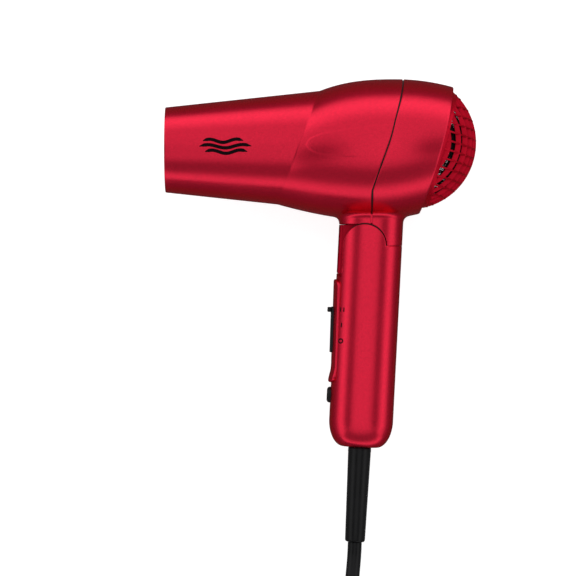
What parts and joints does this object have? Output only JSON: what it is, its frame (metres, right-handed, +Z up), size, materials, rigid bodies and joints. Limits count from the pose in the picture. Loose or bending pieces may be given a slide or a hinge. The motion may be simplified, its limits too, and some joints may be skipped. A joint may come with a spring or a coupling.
{
  "type": "folding hair dryer",
  "caption": "Compact hair dryer lying on its side: tapered nozzle, domed intake grille, handle folding on a hinge pin, slide switch, cool-shot button, tied cord with plug.",
  "frame": {"origin": "centre of the dryer's footprint box on the surface that it lies on, measured without the cord and its relief", "axes": "+X along the barrel towards the intake grille, +Y from the handle's end towards the barrel, +Z up from the surface, out of the dryer's left side"},
  "size_m": [0.2017, 0.3763, 0.0721],
  "materials": {
    "red_shell": "metallic pearl red lacquer, glossy",
    "black_plastic": "satin moulded black",
    "cord_rubber": "satin black cord sheath",
    "steel": "plated steel",
    "brass": "plain brass",
    "mica": "layered mica sheet",
    "grey_plastic": "moulded grey",
    "board_green": "coated circuit board",
    "reset_red": "moulded dark red"
  },
  "bodies": {
    "handle": {"handle_left": "red_shell", "handle_right": "red_shell", "hinge_pin": "steel", "hinge_washer_left": "brass", "hinge_washer_right": "brass", "front_bezel": "red_shell", "switch_plate": "black_plastic", "switch_body": "grey_plastic", "cool_shot_switch": "grey_plastic", "handle_screw_1": "steel", "handle_screw_2": "steel", "handle_screw_3": "steel", "inner_lead": "cord_rubber", "cord_clamp": "black_plastic", "switch_wire_1": "grey_plastic", "switch_wire_2": "grey_plastic", "strain_relief": "cord_rubber", "cord": "cord_rubber", "cord_coil": "cord_rubber", "cord_tie": "black_plastic", "cord_tail": "cord_rubber", "plug_relief": "cord_rubber", "plug_body": "black_plastic", "plug_blade_1": "brass", "plug_blade_2": "brass"},
    "head": {"front_housing": "red_shell", "rear_housing": "red_shell", "rear_grille": "red_shell", "outlet_grille": "black_plastic", "heat_shield": "mica", "heater_board_upright": "mica", "heater_board_level": "mica", "heating_coil": "steel", "thermostat": "steel", "thermal_fuse": "grey_plastic", "motor_can": "steel", "motor_end_bell": "black_plastic", "rectifier_board": "board_green", "motor_mount": "black_plastic", "hinge_knuckle": "red_shell", "heater_lead_1": "grey_plastic", "heater_lead_2": "grey_plastic", "housing_screw_1": "steel", "housing_screw_2": "steel"},
    "fan": {"fan": "grey_plastic", "motor_shaft": "steel"},
    "switch_knob": {"switch_knob": "black_plastic"},
    "cool_shot_button": {"cool_shot_button": "black_plastic"},
    "reset_button": {"reset_button": "reset_red"},
    "test_button": {"test_button": "grey_plastic"}
  },
  "joints": [
    {"name": "handle_fold", "type": "hinge", "parent": "handle", "child": "head", "pos_m": [0.02163, 0.0088, 0.02845], "axis": [0, -0.1586, 0.9873], "range_deg": [0, 85]},
    {"name": "fan_spin", "type": "hinge", "parent": "head", "child": "fan", "pos_m": [0.02163, 0.0562, 0.03606], "axis": [1, 0, 0], "continuous": true},
    {"name": "switch_slide", "type": "slide", "parent": "handle", "child": "switch_knob", "axis": [-0.0511, -0.9861, -0.1584], "range_m": [0, 0.016]},
    {"name": "cool_shot_push", "type": "slide", "parent": "handle", "child": "cool_shot_button", "axis": [0.9987, -0.0505, -0.0081], "range_m": [0, 0.002], "stiffness_N_per_m": 300},
    {"name": "reset_push", "type": "slide", "parent": "handle", "child": "reset_button", "axis": [0, 0, -1], "range_m": [0, 0.0012], "stiffness_N_per_m": 300},
    {"name": "test_push", "type": "slide", "parent": "handle", "child": "test_button", "axis": [0, 0, -1], "range_m": [0, 0.0012], "stiffness_N_per_m": 300}
  ]
}
